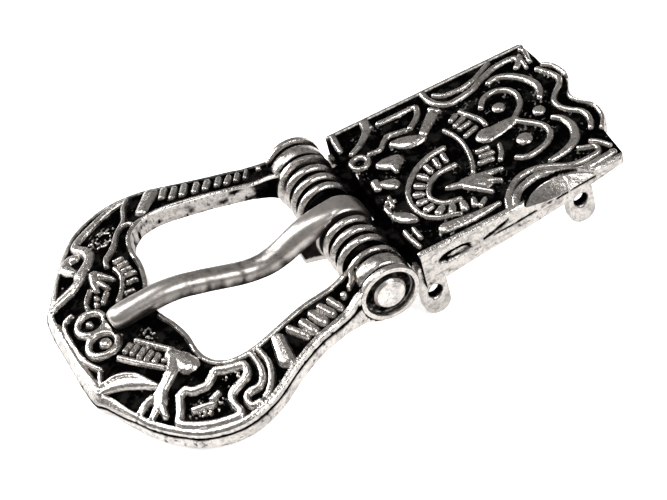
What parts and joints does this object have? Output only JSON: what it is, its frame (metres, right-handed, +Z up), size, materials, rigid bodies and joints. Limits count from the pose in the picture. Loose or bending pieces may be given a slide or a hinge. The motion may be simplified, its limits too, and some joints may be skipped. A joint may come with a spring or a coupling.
{
  "type": "belt buckle",
  "caption": "Cast belt buckle with a relief plate on four sewing eyes, a hinged mask-fronted loop and a tongue that turn on one rivet.",
  "frame": {"origin": "middle of the buckle's length and width, on the surface that it lies on", "axes": "+X from the loop's muzzle to the rear of the plate, +Y across the belt, +Z up"},
  "size_m": [0.0708, 0.0448, 0.0153],
  "materials": {
    "cast_silver": "silvered bronze casting with blackened recesses",
    "rivet": "silvered, satin",
    "tongue_silver": "silvered, smooth satin"
  },
  "bodies": {
    "plate": {"plate": "cast_silver"},
    "loop": {"loop": "cast_silver", "hinge_pin": "rivet"},
    "tongue": {"tongue": "tongue_silver"}
  },
  "joints": [
    {"name": "loop_hinge", "type": "hinge", "parent": "plate", "child": "loop", "pos_m": [0.00097, 0, 0.00747], "axis": [0, 1, 0], "range_deg": [-80, 20]},
    {"name": "tongue_hinge", "type": "hinge", "parent": "loop", "child": "tongue", "pos_m": [0.00097, 0, 0.00747], "axis": [0, 1, 0], "range_deg": [0, 70]}
  ]
}
